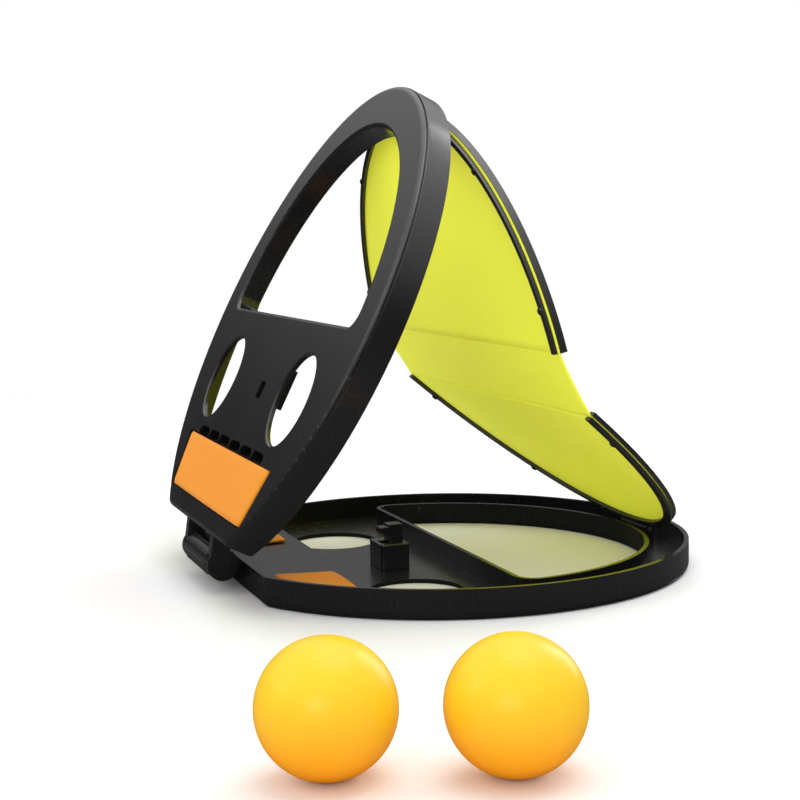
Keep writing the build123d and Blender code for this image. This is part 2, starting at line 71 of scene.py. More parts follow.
MAIN_HINGE = Vector(joints["main_hinge"]["pos_m"])
OPEN_ANGLE = math.radians(-joints["main_hinge"]["range_deg"][0])
NET_ANGLE = math.radians(-joints["lower_net_hinge"]["range_deg"][0])
LOWER_PIVOT = Vector(joints["lower_net_hinge"]["pos_m"])
DEPTH = MAIN_HINGE.z
SHORT_OF_RADIUS = 0.1 * MM  # a half ring's legs end just before its widest place
UPPER_NET_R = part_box("upper_net_band")[1].y + SHORT_OF_RADIUS
LOWER_NET_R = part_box("lower_net_band")[1].y + SHORT_OF_RADIUS
print("hinge line", tuple(MAIN_HINGE), "opens", round(math.degrees(OPEN_ANGLE), 1), "degrees")

# %% [markdown]
# ## Two ways to place a shape
# The upper shell is the lower one mirrored in the parting plane and swung open. So a piece of
# the upper half is drawn in the easy, lying position, and `to_upper` takes its points to their
# real place. `net_point` does the same for a net frame: it takes flat coordinates about the
# frame's own pivot. Working with functions on points, rather than with turned objects, leaves
# each finished object at the origin, which is what its pattern coordinates need.

# %% Point functions
def to_upper(point):
    """A point of the lying lower half, taken to its place in the open upper half."""
    x = point.x - MAIN_HINGE.x
    z = DEPTH - point.z
    c, s = math.cos(OPEN_ANGLE), math.sin(OPEN_ANGLE)
    return Vector((MAIN_HINGE.x + x * c - z * s, point.y, MAIN_HINGE.z + x * s + z * c))


def net_point(x, y, z):
    """A point of the lower net frame, from flat coordinates about its pivot."""
    c, s = math.cos(NET_ANGLE), math.sin(NET_ANGLE)
    return LOWER_PIVOT + Vector((x * c + z * s, y, -x * s + z * c))


def stays(point):
    return point


# %% [markdown]
# ## A small language for materials
# A shader is arithmetic on patterns. Adding each Math node by hand hides the idea, so `Wire`
# wraps one output socket and overloads the operators: `1 - mask * 0.5` adds the two Math nodes
# that it needs. `Finish` holds one Principled shader and a single method, `node`, for every
# other kind of node. Numbers that don't vary are set on the shader's own sockets.

# %% The wrapper
class Wire:
    """An output socket of a finish, which can be used in sums."""

    def __init__(self, finish, socket):
        self.finish = finish
        self.socket = socket

    def maths(self, operation, *values):
        return self.finish.node("ShaderNodeMath", {"operation": operation}, dict(enumerate(values)))

    def __add__(self, other):
        return self.maths("ADD", self, other)

    __radd__ = __add__

    def __mul__(self, other):
        return self.maths("MULTIPLY", self, other)

    __rmul__ = __mul__

    def __sub__(self, other):
        return self.maths("SUBTRACT", self, other)

    def __rsub__(self, other):
        return self.maths("SUBTRACT", other, self)

    def sine(self):
        return self.maths("SINE", self)

    def smooth_step(self, low, high):
        settings = {"interpolation_type": "SMOOTHSTEP"}
        return self.finish.node("ShaderNodeMapRange", settings, {"Value": self, 1: low, 2: high})


class Finish:
    """A material: one Principled shader and the nodes that feed it."""

    def __init__(self, name, **constants):
        self.material = bpy.data.materials.new(name)
        self.material.use_nodes = True
        self.tree = self.material.node_tree
        self.shader = self.tree.nodes["Principled BSDF"]
        for socket, value in constants.items():
            self.shader.inputs[socket.replace("_", " ")].default_value = value

    def join(self, value, socket):
        if isinstance(value, Wire):
            self.tree.links.new(value.socket, socket)
        else:
            socket.default_value = value

    def node(self, kind, settings=None, values=None, out=0):
        node = self.tree.nodes.new(kind)
        for name, value in (settings or {}).items():
            setattr(node, name, value)
        for key, value in (values or {}).items():
            self.join(value, node.inputs[key])
        return Wire(self, node.outputs[out])

    def feed(self, socket, value):
        self.join(value, self.shader.inputs[socket])

    def place(self, scale=(1, 1, 1)):
        """Object coordinates, in metres, stretched by scale."""
        spot = self.node("ShaderNodeTexCoord", out="Object")
        return self.node("ShaderNodeMapping", {}, {"Vector": spot, "Scale": scale})

    def cloth_axes(self):
        """The two axes of a piece's own UV map, as separate numbers."""
        spot = self.node("ShaderNodeTexCoord", out="UV")
        across = self.node("ShaderNodeSeparateXYZ", {}, {0: spot}, out="X")
        along = self.node("ShaderNodeSeparateXYZ", {}, {0: spot}, out="Y")
        return across, along

    def noise(self, scale, detail=3.0, stretch=(1, 1, 1)):
        values = {"Vector": self.place(stretch), "Scale": scale, "Detail": detail}
        return self.node("ShaderNodeTexNoise", {}, values)

    def mix(self, share, first, second):
        """A colour between two colours."""
        return self.node("ShaderNodeMix", {"data_type": "RGBA"}, {0: share, 6: first, 7: second}, out=2)

    def bump(self, height, distance):
        values = {"Height": height, "Distance": distance, "Strength": 1.0}
        self.feed("Normal", self.node("ShaderNodeBump", {}, values))


def shade(red, green, blue):
    return (red, green, blue, 1.0)


# %% [markdown]
# ## Black moulded plastic
# The shells are injection-moulded ABS: almost black, glossy, but never perfectly even. Real
# mouldings show a soft orange peel, a roughness that drifts over the surface, and hairline
# scuffs from handling. A flat black would look like a hole, so the base stays a little above
# black and the roughness carries most of the detail. The net frames use the same plastic
# from a finer, duller mould, so one function makes both.

# %% Plastic finishes
def moulded_plastic(name, dark, pale, gloss, peel):
    finish = Finish(name, Specular_IOR_Level=0.55)
    drift = finish.noise(14, 2)
    grain = finish.noise(900, 2)
    scuffs = finish.noise(160, 5, (1, 9, 1)).smooth_step(0.60, 0.74)
    finish.feed("Base Color", finish.mix(drift * 0.7 + scuffs * 0.3, dark, pale))
    finish.feed("Roughness", drift * 0.12 + scuffs * 0.16 + gloss)
    finish.bump(drift * 0.6 + grain * 0.4, peel)
    return finish.material


shell_plastic = moulded_plastic(
    "shell_black_plastic", shade(0.006, 0.006, 0.007), shade(0.012, 0.012, 0.014), 0.16, 0.00006
)
frame_plastic = moulded_plastic(
    "net_frame_plastic", shade(0.008, 0.008, 0.009), shade(0.016, 0.016, 0.019), 0.28, 0.00005
)
latch_plastic = moulded_plastic(
    "latch_plastic", shade(0.005, 0.005, 0.006), shade(0.010, 0.010, 0.012), 0.22, 0.00004
)

# %% [markdown]
# ## Bright steel
# The pins, the spring and the screws are plated steel. Turned and drawn parts keep fine lines
# round or along them. Noise that is stretched along Y, the direction of every pin here, gives
# those lines without a picture.

# %% Steel finish
def bright_steel():
    finish = Finish("plated_steel", Metallic=1.0)
    lines = finish.noise(700, 2, (1, 0.06, 1))
    cloud = finish.noise(60, 3)
    finish.feed("Base Color", finish.mix(cloud, shade(0.50, 0.50, 0.49), shade(0.66, 0.66, 0.66)))
    finish.feed("Roughness", lines * 0.2 + 0.2)
    finish.bump(lines, 0.00002)
    return finish.material


steel = bright_steel()

# %% [markdown]
# ## Elastic membrane
# The net is a fine warp-knit elastane, bright lime. Two crossed sine waves on the cloth's own
# UV map, which is in millimetres, draw the courses and wales of the knit: they follow the cloth
# when it folds. A slow cloud shifts the dye slightly. Subsurface light gives the soft glow of thin
# cloth lit from behind. A low emission in the lime of the dye is painted light: the cloth glows
# though it is no lamp, and its strength was chosen for brightness.

# %% Membrane finish
LIME = shade(0.80, 0.82, 0.06)
LIME_DEEP = shade(0.72, 0.76, 0.035)
KNIT = 0.7
LIME_PAINTED_GLOW = 0.24


def knitted_elastic():
    finish = Finish("lime_elastic_knit", Sheen_Weight=0.04, Specular_IOR_Level=0.3)
    # Painted light: a low lime emission makes the cloth brighter than the lamps light it.
    finish.shader.inputs["Emission Color"].default_value = LIME
    finish.shader.inputs["Emission Strength"].default_value = LIME_PAINTED_GLOW
    finish.shader.inputs["Subsurface Weight"].default_value = 0.5
    finish.shader.inputs["Subsurface Radius"].default_value = (1.0, 1.0, 0.3)
    finish.shader.inputs["Subsurface Scale"].default_value = 0.002
    across, along = finish.cloth_axes()
    turn = 2 * math.pi / KNIT
    wales = (across * turn).sine()
    courses = (along * (turn * 1.3) + wales * 0.6).sine()
    knit = wales * 0.5 + courses * 0.5
    cloud = finish.noise(22, 3)
    share = cloud * 0.7 + knit * 0.12
    finish.feed("Base Color", finish.mix(share, LIME, LIME_DEEP))
    finish.feed("Roughness", cloud * 0.1 + 0.52)
    finish.bump(knit, 0.00004)
    return finish.material


membrane_cloth = knitted_elastic()

# %% [markdown]
# ## Orange webbing
# Strap webbing is woven with heavy weft ribs across it. The large ribs are real geometry later
# on; the finish adds the small yarns between them, a painted highlight on the crest of each rib
# and painted shade in the valleys, all from the strap's own UV map in millimetres.

# %% Webbing finish
RIB_PITCH = 1.5
ORANGE = shade(0.93, 0.31, 0.012)
# The dark orange is painted shade for the rib valleys; the pale one gives a random paler tone and the
# painted highlight on the rib crests.
ORANGE_PAINTED_SHADE = shade(0.70, 0.19, 0.006)
ORANGE_TONE_AND_HIGHLIGHT = shade(0.98, 0.40, 0.035)


def ribbed_webbing():
    finish = Finish("orange_webbing", Sheen_Weight=0.04, Specular_IOR_Level=0.25)
    across, along = finish.cloth_axes()
    rib = (along * (2 * math.pi / RIB_PITCH)).sine()
    yarn = (across * (2 * math.pi / 0.55) + rib * 0.8).sine()
    cloud = finish.noise(90, 4)
    # Painted shade darkens the valleys between the ribs, and a painted highlight makes each crest paler;
    # the crest also lowers the roughness.
    painted_valley_shade = (0 - rib).smooth_step(0.2, 1.0)
    crest_highlight_and_gloss = rib.smooth_step(0.4, 1.0)
    body = finish.mix(cloud * 0.5 + crest_highlight_and_gloss * 0.35, ORANGE, ORANGE_TONE_AND_HIGHLIGHT)
    finish.feed("Base Color", finish.mix(painted_valley_shade * 0.45, body, ORANGE_PAINTED_SHADE))
    finish.feed("Roughness", 0.62 - crest_highlight_and_gloss * 0.12 + cloud * 0.1)
    finish.bump(yarn * 0.5 + cloud * 0.5, 0.00008)
    return finish.material


webbing = ribbed_webbing()


def stitch_thread():
    finish = Finish("orange_thread", Roughness=0.55)
    twist = finish.noise(1500, 2)
    finish.feed("Base Color", finish.mix(twist, shade(0.98, 0.42, 0.05), shade(0.75, 0.22, 0.01)))
    finish.bump(twist, 0.00005)
    return finish.material


thread = stitch_thread()

# %% [markdown]
# ## Celluloid balls
# A table-tennis ball is thin dyed celluloid, satin from its last tumble. A height-driven mix
# paints light and shade into its colour: yellow at the top, deep orange at the foot. Subsurface
# light softens the shading, and a fine noise bump gives the satin.

# %% Ball finish
def celluloid(name, centre):
    finish = Finish(name, Specular_IOR_Level=0.3)
    finish.shader.inputs["Subsurface Weight"].default_value = 0.3
    finish.shader.inputs["Subsurface Radius"].default_value = (1.0, 0.6, 0.1)
    finish.shader.inputs["Subsurface Scale"].default_value = 0.006
    spot = finish.node("ShaderNodeTexCoord", out="Object")
    height = finish.node("ShaderNodeSeparateXYZ", {}, {0: spot}, out="Z")
    # Painted light and shade: by height, the colour runs from deep orange at the foot to yellow at the
    # top.
    low = height.smooth_step(centre.z - 0.016, centre.z + 0.012)
    cloud = finish.noise(40, 3)
    grain = finish.noise(1800, 2)
    share = low * 0.85 + cloud * 0.15
    finish.feed("Base Color", finish.mix(share, shade(0.96, 0.34, 0.004), shade(1.0, 0.66, 0.02)))
    finish.feed("Roughness", cloud * 0.08 + 0.3)
    finish.bump(grain, 0.00003)
    return finish.material


# %% [markdown]
# ## Making a finished mesh object
# Every soft piece below is points and faces worked out by a rule. `solid_from` joins them, merges
# doubled points, turns the faces outwards and gives the object its material. The UV map is
# handed over as one value per corner point, in millimetres of cloth.

# %% Mesh helper
SAME_POINT = 1e-7


def solid_from(name, points, faces, material, uvs=None):
    mesh = bpy.data.meshes.new(name)
    mesh.from_pydata([tuple(p) for p in points], [], faces)
    if uvs:
        layer = mesh.uv_layers.new(name="cloth_mm")
        for loop in mesh.loops:
            layer.data[loop.index].uv = uvs[loop.vertex_index]
    work = bmesh.new()
    work.from_mesh(mesh)
    bmesh.ops.remove_doubles(work, verts=work.verts, dist=SAME_POINT)
    bmesh.ops.recalc_face_normals(work, faces=work.faces)
    work.to_mesh(mesh)
    work.free()
    mesh.materials.append(material)
    mesh.polygons.foreach_set("use_smooth", [True] * len(mesh.polygons))
    piece = bpy.data.objects.new(name, mesh)
    bpy.context.collection.objects.link(piece)
    print(name, len(mesh.polygons), "faces")
    return piece


# %% [markdown]
# ## Rigid parts: soften every edge
# Nothing moulded has a knife edge. The design's meshes are exact but sharp, and a sharp edge
# catches no light. Each visible moulding is copied, its triangles are joined back to flat faces,
# and a small bevel rounds every real corner. The copy stands in for the design's own mesh.

# %% Bevelled copies
SHARP = math.radians(28)
FLAT = math.radians(0.4)
SAME_CORNER = 2e-6


def softened(node, body, material, radius):
    source = nodes[node]
    mesh = source.data.copy()
    mesh.name = node + "_moulding"
    work = bmesh.new()
    work.from_mesh(mesh)
    bmesh.ops.remove_doubles(work, verts=work.verts, dist=SAME_CORNER)
    bmesh.ops.dissolve_limit(
        work, angle_limit=FLAT, verts=work.verts, edges=work.edges, use_dissolve_boundaries=False
    )
    work.to_mesh(mesh)
    work.free()
    piece = bpy.data.objects.new(node + "_moulding", mesh)
    bpy.context.collection.objects.link(piece)
    mesh.materials.clear()
    mesh.materials.append(material)
    mesh.polygons.foreach_set("use_smooth", [True] * len(mesh.polygons))
    bevel = piece.modifiers.new("edges", "BEVEL")
    bevel.width = radius
    bevel.segments = 2
    bevel.limit_method = "ANGLE"
    bevel.angle_limit = SHARP
    bevel.harden_normals = False
    bevel.use_clamp_overlap = True
    weights = piece.modifiers.new("flat_faces", "WEIGHTED_NORMAL")
    weights.keep_sharp = True
    weights.weight = 80
    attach(piece, body)
    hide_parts(node)


softened("lower_shell", "lower_shell", shell_plastic, 0.35 * MM)
softened("upper_shell", "upper_shell", shell_plastic, 0.35 * MM)
softened("latch_base", "lower_shell", latch_plastic, 0.3 * MM)
softened("latch_hook", "latch_hook", latch_plastic, 0.3 * MM)
softened("latch_catch", "upper_shell", latch_plastic, 0.25 * MM)
for half in ("lower", "upper"):
    for part in ("band", "clamp"):
        softened(f"{half}_net_{part}", f"{half}_net", frame_plastic, 0.3 * MM)

# %% [markdown]
# The pins, the spring and the screws are already round and true, so they keep their own meshes
# and only take the steel.

# %% Steel parts
for node in ("hinge_pin", "hinge_spring", "latch_screws", "lower_tip_pin", "upper_tip_pin"):
    nodes[node].data.materials.clear()
    nodes[node].data.materials.append(steel)

# %% [markdown]
# ## The membrane
# On the real toy the net is one stretched sheet. It is clamped in both half rings and free
# between their ends, where its edges pull inwards. Here it is three pieces, because two frames
# and the gap between them move in three ways. Each piece is a grid of rows across the toy. The
# half discs ride their frames; the free middle rides the lower frame. A slight pull towards each
# peg keeps the surface from looking like a cut-out card.

# %% Membrane sizes
SHEET_T = 0.5 * MM
MEMBRANE_Z = 2.2 * MM
LOWER_HEM = 1.0 * MM
UPPER_HEM = 0.3 * MM
NET_CENTRE = LOWER_PIVOT.x + 4.9 * MM
NET_END = LOWER_PIVOT.x + 0.4 * MM
PEG_ANGLES = [math.radians(a) for a in (-78, -42, -14, 14, 42, 78)]
COLUMNS = 72
PULL = 0.35 * MM


def half_width(x, outer):
    return math.sqrt(max(outer ** 2 - (x + NET_CENTRE) ** 2, 0.0))


def tension(x, y, outer):
    """How far the cloth is lifted off its plane: nothing at the rim, a shallow dip inside."""
    reach = min(math.hypot(x + NET_CENTRE, y) / outer, 1.0)
    angle = math.atan2(y, x + NET_CENTRE)
    spokes = sum(math.exp(-((angle - a) / 0.10) ** 2) for a in PEG_ANGLES)
    return -PULL * (1 - reach ** 2) + 0.25 * PULL * spokes * reach ** 4 * (1 - reach) * 6


# %% [markdown]
# A sheet is closed: a top skin, a bottom skin and a wall round the edge. Building it from one
# grid function for all three pieces keeps their weave in step.

# %% Sheet builder
def cloth_sheet(name, rows, columns, surface, normal_of, thickness, material):
    """A closed thin sheet from surface(i, j) on a grid, with its UV in millimetres."""
    top = [[surface(i, j) for j in range(columns + 1)] for i in range(rows + 1)]
    points, uvs, faces = [], [], []
    for side in (0.5, -0.5):
        for i in range(rows + 1):
            for j in range(columns + 1):
                point, uv = top[i][j]
                points.append(point + normal_of(point) * thickness * side)
                uvs.append(uv)
    wide = columns + 1
    skin = wide * (rows + 1)
    for i in range(rows):
        for j in range(columns):
            a = i * wide + j
            faces.append((a, a + 1, a + 1 + wide, a + wide))
            faces.append((skin + a, skin + a + wide, skin + a + 1 + wide, skin + a + 1))
    rim = [i * wide for i in range(rows + 1)]
    rim += [rows * wide + j for j in range(1, wide)]
    rim += [i * wide + columns for i in range(rows - 1, -1, -1)]
    rim += [j for j in range(columns - 1, 0, -1)]
    for a, b in zip(rim, rim[1:] + rim[:1]):
        faces.append((a, b, skin + b, skin + a))
    return solid_from(name, points, faces, material, uvs)


def half_disc(name, edge, tip, carry):
    """The cloth inside one half ring, from its leg ends to its tip."""
    rows = 44
    normal = carry(net_point(0, 0, 1)) - carry(net_point(0, 0, 0))

    def surface(i, j):
        share = math.sin(i / rows * math.pi / 2)
        x = -NET_END + (NET_END + tip) * share
        y = half_width(x, edge) * (2 * j / COLUMNS - 1)
        z = MEMBRANE_Z + tension(x, y, edge)
        return carry(net_point(x, y, z)), (y / MM, x / MM)

    return cloth_sheet(name, rows, COLUMNS, surface, lambda p: normal, SHEET_T, membrane_cloth)


LOWER_EDGE = LOWER_NET_R - LOWER_HEM
UPPER_EDGE = UPPER_NET_R - UPPER_HEM
lower_cloth = half_disc("membrane_lower_cloth", LOWER_EDGE, -4.0 * MM, stays)
upper_cloth = half_disc("membrane_upper_cloth", UPPER_EDGE, -1.5 * MM, to_upper)

# %% [markdown]
# The middle runs from the lower leg ends to the upper ones. Its rows are blended between the two
# end lines, and its free edges bow inwards like any stretched edge does.

# %% The free middle
EDGE_BOW = 1.2 * MM


def middle_cloth():
    rows = 24
    edge_low = half_width(-NET_END, LOWER_EDGE)
    edge_high = half_width(-NET_END, UPPER_EDGE)
    low = net_point(-NET_END, 0, MEMBRANE_Z)
    high = to_upper(low)
    along = (high - low).normalized()
    normal = Vector((0, -1, 0)).cross(along)

    def surface(i, j):
        t = i / rows
        bow = EDGE_BOW * 4 * t * (1 - t)
        half = edge_low + (edge_high - edge_low) * t - bow
        across = 2 * j / COLUMNS - 1
        point = low.lerp(high, t) + Vector((0, half * across, 0))
        return point, (half * across / MM, -(NET_END + t * (high - low).length) / MM)

    piece = cloth_sheet(
        "membrane_middle_cloth", rows, COLUMNS, surface, lambda p: normal, SHEET_T, membrane_cloth
    )
    return piece, low, along, (high - low).length, edge_low + edge_high


strip, strip_foot, strip_way, strip_length, strip_width = middle_cloth()

# %% [markdown]
# Each piece rides its frame, and the design's membrane part that it stands in for is hidden. The
# whole net would be cut as one blank: a half disc for each ring and the strip between.

for cloth, body, edge in ((lower_cloth, "lower_net", LOWER_EDGE), (upper_cloth, "upper_net", UPPER_EDGE)):
    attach(cloth, body)
    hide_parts("membrane_" + body.split("_")[0])
    flat = (2 * edge, NET_END)
    math.pi / 4 * flat[0] * flat[1]
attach(strip, "lower_net")
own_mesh(strip)
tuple(strip_way)
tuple(strip_foot)
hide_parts("membrane_middle")
print("free strip", round(strip_length / MM, 1), "mm long")

# %% [markdown]
# ## Hand straps
# Each strap crosses the outer face, turns in through two slots and folds back inside. It is a
# ribbon swept along one line: flat run, bend, short drop, bend, tail. The line is built from
# straight runs and arcs. Weft ribs are modelled as a fine ripple on both skins, and the
# selvedge at each side is a little thicker. The same ribbon makes both straps, drawn taut over
# the pocket in each shell: the upper one is crowned a little, and the lower one is flat and just
# inside the face that the shell lies on.

# %% Strap line
STRAP_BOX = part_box("lower_strap")
STRAP_W = STRAP_BOX[1].x - STRAP_BOX[0].x
STRAP_X = (STRAP_BOX[0].x + STRAP_BOX[1].x) / 2
STRAP_T = 1.2 * MM
STRAP_SLANT = 0.3
STRAP_TURN = STRAP_BOX[1].y - STRAP_SLANT * STRAP_W / 2 - STRAP_T / 2
TAIL_Z = STRAP_BOX[1].z - STRAP_T / 2
TAIL_LENGTH = 28 * MM
UPPER_FACE_Z = 0.2 * MM
LOWER_FACE_Z = 0.65 * MM
CROWN = 0.8 * MM
BEND = 1.7 * MM
FOLD = 1.2 * MM
TAIL_RISE = 0.35 * MM
STEP = 0.25 * MM


def arc(centre_y, centre_z, radius, start, end, steps=14):
    angles = [start + (end - start) * i / steps for i in range(steps + 1)]
    return [(centre_y + radius * math.cos(a), centre_z + radius * math.sin(a)) for a in angles]


def strap_line(face_z, crown):
    """Half of a strap's middle line, from the middle of the face to the end of its tail."""
    flat = []
    for i in range(25):
        y = (STRAP_TURN - BEND) * i / 24
        flat.append((y, face_z - crown * math.cos(y / STRAP_TURN * math.pi / 2)))
    turn = arc(STRAP_TURN - BEND, face_z + BEND, BEND, -math.pi / 2, 0)
    back = arc(STRAP_TURN - FOLD, TAIL_Z - FOLD, FOLD, 0, math.pi / 2)
    tail = []
    for i in range(1, 15):
        y = STRAP_TURN - FOLD - (TAIL_LENGTH - FOLD) * i / 14
        tail.append((y, TAIL_Z + TAIL_RISE * math.sin(i / 14 * math.pi)))
    return flat + turn[1:] + back + tail


def even_steps(line, step):
    """The same line with points every step, so that the ribs keep one pitch."""
    lengths = [0.0]
    for a, b in zip(line, line[1:]):
        lengths.append(lengths[-1] + math.dist(a, b))
    count = round(lengths[-1] / step)
    result, k = [], 0
    for i in range(count + 1):
        s = lengths[-1] * i / count
        while k < len(line) - 2 and lengths[k + 1] < s:
            k += 1
        t = (s - lengths[k]) / (lengths[k + 1] - lengths[k])
        a, b = line[k], line[k + 1]
        result.append((a[0] + (b[0] - a[0]) * t, a[1] + (b[1] - a[1]) * t, s))
    return result


# %% Strap ribbon
RIB_HEIGHT = 0.10 * MM
ACROSS = 14


def strap(name, face_z, crown, carry, body, node):
    half = even_steps(strap_line(face_z, crown), STEP)
    line = [(-y, z, -s) for y, z, s in reversed(half[1:])] + half
    count = len(line)
    points, uvs, faces = [], [], []
    for side in (1, -1):
        for k, (y, z, s) in enumerate(line):
            before, after = line[max(k - 1, 0)], line[min(k + 1, count - 1)]
            dy, dz = after[0] - before[0], after[1] - before[1]
            size = math.hypot(dy, dz)
            normal = Vector((0, dz / size, -dy / size))
            rib = RIB_HEIGHT * (0.5 + 0.5 * math.sin(2 * math.pi * s / (RIB_PITCH * MM)))
            for j in range(ACROSS + 1):
                w = 2 * j / ACROSS - 1
                selvedge = 0.12 * MM * math.exp(-((1 - abs(w)) / 0.06) ** 2)
                round_edge = 1 - 0.7 * max(0.0, (abs(w) - 0.97) / 0.03)
                x = STRAP_X + w * STRAP_W / 2
                slant = STRAP_SLANT * (x - STRAP_X) * max(-1.0, min(1.0, y / STRAP_TURN))
                skin = (STRAP_T / 2 - RIB_HEIGHT + rib + selvedge) * round_edge
                points.append(carry(Vector((x, y + slant, z)) + normal * skin * side))
                uvs.append(((w * STRAP_W / 2) / MM, s / MM))
    wide = ACROSS + 1
    skin_count = wide * count
    for k in range(count - 1):
        for j in range(ACROSS):
            a = k * wide + j
            faces.append((a, a + 1, a + 1 + wide, a + wide))
            b = skin_count + a
            faces.append((b, b + wide, b + 1 + wide, b + 1))
    rim = [k * wide for k in range(count)] + [(count - 1) * wide + j for j in range(1, wide)]
    rim += [k * wide + ACROSS for k in range(count - 2, -1, -1)] + list(range(ACROSS - 1, 0, -1))
    for a, b in zip(rim, rim[1:] + rim[:1]):
        faces.append((a, b, skin_count + b, skin_count + a))
    piece = solid_from(name, points, faces, webbing, uvs)
    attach(piece, body)
    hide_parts(node)
    length = 2 * half[-1][2]
    print(name, "is cut", round(length / MM), "mm long")


strap("lower_strap_webbing", LOWER_FACE_Z, 0.0, stays, "lower_shell", "lower_strap")
strap("upper_strap_webbing", UPPER_FACE_Z, CROWN, to_upper, "upper_shell", "upper_strap")

# %% [markdown]
# ## Repeated small pieces with Geometry Nodes
# Pegs and stitches repeat, so one tree makes each kind: it puts a small shape on every point of
# a guide mesh, turned to the point's normal. `repeat_on` builds the tree, sets its named inputs by
# socket identifier before it is first evaluated, converts the result to a plain mesh and
# throws the modifier away.

# %% Geometry Nodes helper
def repeat_tree(name, material, build_shape, sizes):
    """A tree that puts build_shape's geometry on each point of its input mesh."""
    tree = bpy.data.node_groups.new(name, "GeometryNodeTree")
    tree.interface.new_socket("Geometry", in_out="INPUT", socket_type="NodeSocketGeometry")
    tree.interface.new_socket("Geometry", in_out="OUTPUT", socket_type="NodeSocketGeometry")
    for label in sizes:
        tree.interface.new_socket(label, in_out="INPUT", socket_type="NodeSocketFloat")
    add, link = tree.nodes.new, tree.links.new
    group_in, group_out = add("NodeGroupInput"), add("NodeGroupOutput")
    shape = build_shape(tree, group_in)
    normal = add("GeometryNodeInputNamedAttribute")
    normal.data_type = "FLOAT_VECTOR"
    normal.inputs["Name"].default_value = "facing"
    along = add("GeometryNodeInputNamedAttribute")
    along.data_type = "FLOAT_VECTOR"
    along.inputs["Name"].default_value = "heading"
    upright = add("FunctionNodeAlignRotationToVector")
    upright.axis = "Z"
    turned = add("FunctionNodeAlignRotationToVector")
    turned.axis = "X"
    turned.pivot_axis = "Z"
    place = add("GeometryNodeInstanceOnPoints")
    real = add("GeometryNodeRealizeInstances")
    smooth = add("GeometryNodeSetShadeSmooth")
    finish = add("GeometryNodeSetMaterial")
    finish.inputs["Material"].default_value = material
    link(normal.outputs["Attribute"], upright.inputs["Vector"])
    link(upright.outputs["Rotation"], turned.inputs["Rotation"])
    link(along.outputs["Attribute"], turned.inputs["Vector"])
    link(group_in.outputs["Geometry"], place.inputs["Points"])
    link(shape, place.inputs["Instance"])
    link(turned.outputs["Rotation"], place.inputs["Rotation"])
    link(place.outputs["Instances"], real.inputs["Geometry"])
    link(real.outputs["Geometry"], smooth.inputs["Geometry"])
    link(smooth.outputs["Geometry"], finish.inputs["Geometry"])
    link(finish.outputs["Geometry"], group_out.inputs["Geometry"])
    return tree


def repeat_on(name, tree, spots, sizes):
    """Run the tree on guide points, each a (place, facing, heading), and keep a plain mesh."""
    guide = bpy.data.meshes.new(name + "_guide")
    guide.from_pydata([tuple(s[0]) for s in spots], [], [])
    for k, label in ((1, "facing"), (2, "heading")):
        layer = guide.attributes.new(label, "FLOAT_VECTOR", "POINT")
        for i, spot in enumerate(spots):
            layer.data[i].vector = spot[k]
    holder = bpy.data.objects.new(name + "_guide", guide)
    bpy.context.collection.objects.link(holder)
    modifier = holder.modifiers.new("repeat", "NODES")
    modifier.node_group = tree
    for item in tree.interface.items_tree:
        if item.in_out == "INPUT" and item.name in sizes:
            modifier[item.identifier] = sizes[item.name]
    bpy.context.view_layer.update()
    evaluated = holder.evaluated_get(bpy.context.evaluated_depsgraph_get())
    mesh = bpy.data.meshes.new_from_object(evaluated)
    bpy.data.objects.remove(holder)
    piece = bpy.data.objects.new(name, mesh)
    bpy.context.collection.objects.link(piece)
    print(name, len(spots), "repeats,", len(mesh.polygons), "faces")
    return piece


# %% [markdown]
# ### Pegs
# The clamp is pinned to its band by small pegs with domed heads, like drive rivets. The dome is
# a squashed ball on a short cylinder. Both sizes are named inputs of the tree.

# %% Pegs
def peg_shape(tree, group_in):
    add, link = tree.nodes.new, tree.links.new
    dome = add("GeometryNodeMeshUVSphere")
    dome.inputs["Segments"].default_value = 20
    dome.inputs["Rings"].default_value = 12
    squash = add("GeometryNodeTransform")
    squash.inputs["Scale"].default_value = (1.0, 1.0, 0.55)
    shank = add("GeometryNodeMeshCylinder")
    shank.inputs["Vertices"].default_value = 16
    sink = add("GeometryNodeTransform")
    down = add("ShaderNodeMath")
    down.operation = "MULTIPLY"
    down.inputs[1].default_value = -0.5
    drop = add("ShaderNodeCombineXYZ")
    both = add("GeometryNodeJoinGeometry")
    link(group_in.outputs["Head radius"], dome.inputs["Radius"])
    link(dome.outputs["Mesh"], squash.inputs["Geometry"])
    link(group_in.outputs["Shank radius"], shank.inputs["Radius"])
    link(group_in.outputs["Shank length"], shank.inputs["Depth"])
    link(group_in.outputs["Shank length"], down.inputs[0])
    link(down.outputs[0], drop.inputs["Z"])
    link(drop.outputs[0], sink.inputs["Translation"])
    link(shank.outputs["Mesh"], sink.inputs["Geometry"])
    link(squash.outputs["Geometry"], both.inputs["Geometry"])
    link(sink.outputs["Geometry"], both.inputs["Geometry"])
    return both.outputs["Geometry"]


PEG_SIZES = {"Head radius": 1.65 * MM, "Shank radius": 0.8 * MM, "Shank length": 3.2 * MM}
CLAMP_FOOT = 0.1 * MM
BAND_W = 4.0 * MM
CLAMP_INSETS = {"lower": 0.0, "upper": 1.4 * MM}
peg_tree = repeat_tree("peg_row", frame_plastic, peg_shape, PEG_SIZES)


